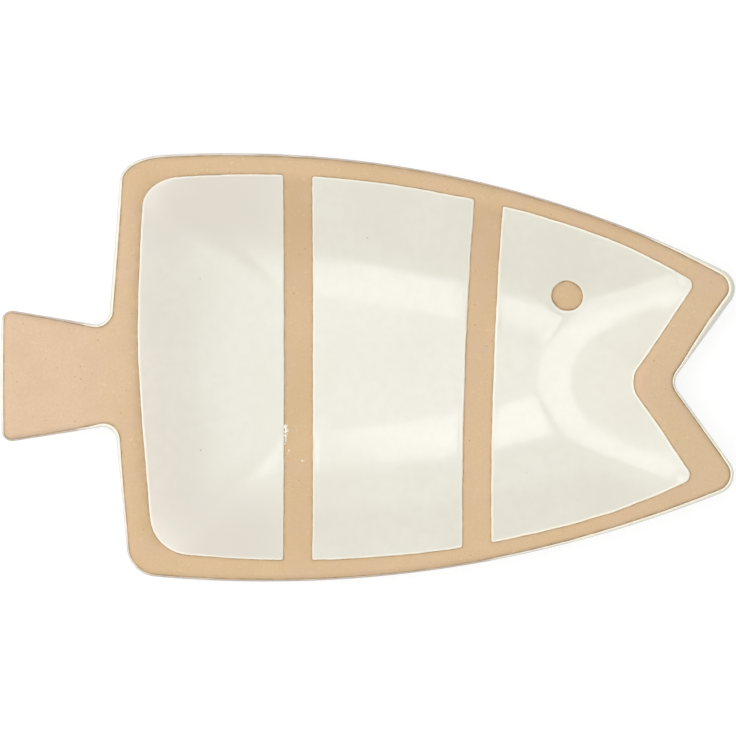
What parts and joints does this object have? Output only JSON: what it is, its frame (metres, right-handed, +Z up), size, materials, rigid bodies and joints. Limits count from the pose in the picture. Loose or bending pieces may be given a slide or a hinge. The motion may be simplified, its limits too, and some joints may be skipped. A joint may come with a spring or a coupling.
{
  "type": "fish-shaped plate",
  "caption": "Shallow fish-shaped stoneware serving plate with a tail grip, an open notched mouth, bare clay rim, bands and eye spot, and cream glazed panels in a dished well.",
  "frame": {"origin": "middle of the plate's outline in plan, on the table plane under the foot ring", "axes": "+X from the tail towards the open mouth, +Y across the plate, +Z up out of the well"},
  "size_m": [0.3054, 0.1782, 0.0256],
  "materials": {
    "bare_clay": "unglazed, fine sandy matte",
    "cream_glaze": "glossy cream glaze"
  },
  "bodies": {
    "root": {"stoneware_body": "bare_clay", "glaze_tail_panel": "cream_glaze", "glaze_middle_panel": "cream_glaze", "glaze_head_panel": "cream_glaze", "glaze_outside": "cream_glaze", "glaze_base": "cream_glaze"}
  },
  "joints": []
}
